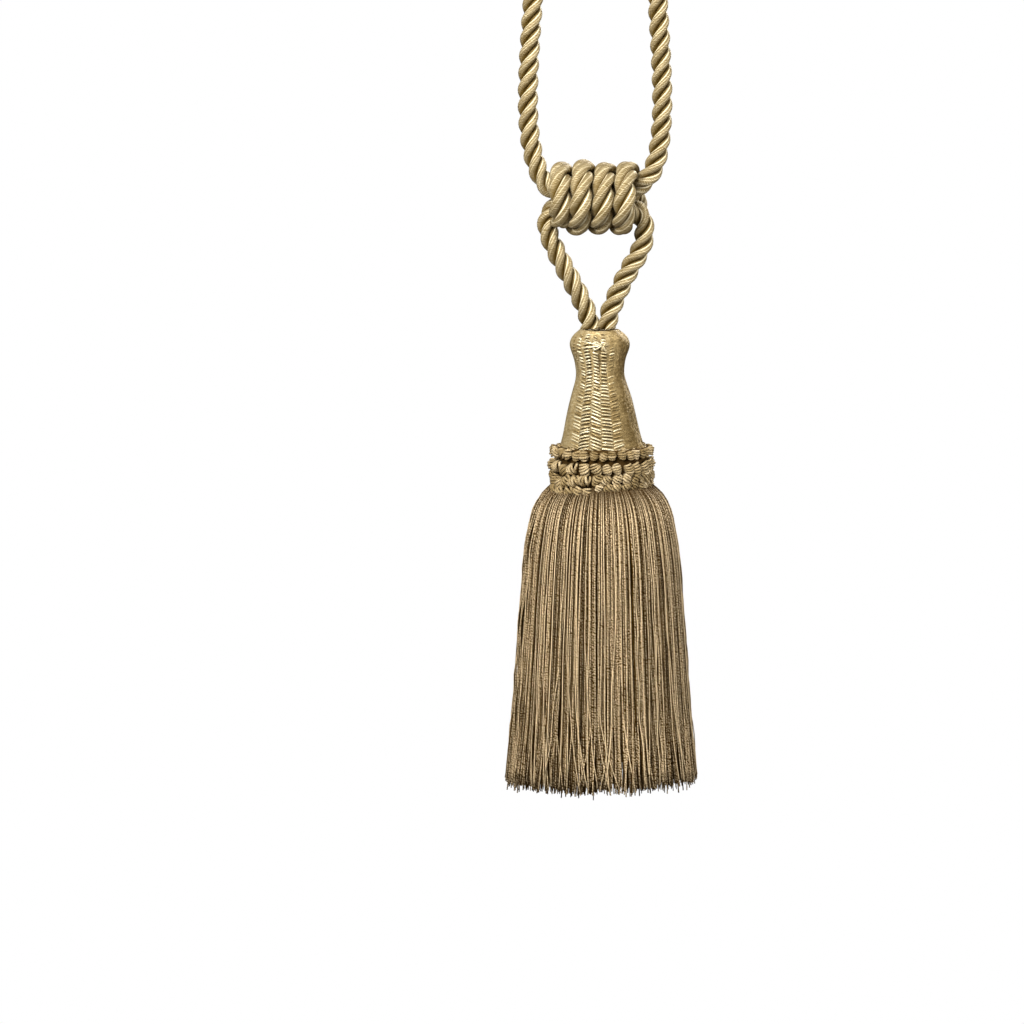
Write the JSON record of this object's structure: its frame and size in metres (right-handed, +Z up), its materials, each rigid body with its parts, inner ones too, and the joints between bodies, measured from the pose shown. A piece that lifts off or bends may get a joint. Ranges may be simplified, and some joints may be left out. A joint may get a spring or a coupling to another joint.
{
  "type": "curtain tieback tassel",
  "caption": "Curtain tieback tassel hanging from a loop of twisted cord, with a wound slide knot, a knit-covered turned head, a knotted ruff and a long cut fringe skirt.",
  "frame": {"origin": "the point under the crown of the cord loop where a hook bears", "axes": "+Z up along the hanging tassel, -Y the front, X across both runs of the loop"},
  "size_m": [0.103, 0.1032, 0.689],
  "materials": {
    "cord_yarn": "satin",
    "head_yarn": "satin",
    "ruff_yarn": "matt",
    "fringe_yarn": "satin"
  },
  "bodies": {
    "root": {"loop_cord": "cord_yarn", "slide_knot": "cord_yarn", "head": "head_yarn", "ruff": "ruff_yarn", "skirt": "fringe_yarn"}
  },
  "joints": []
}
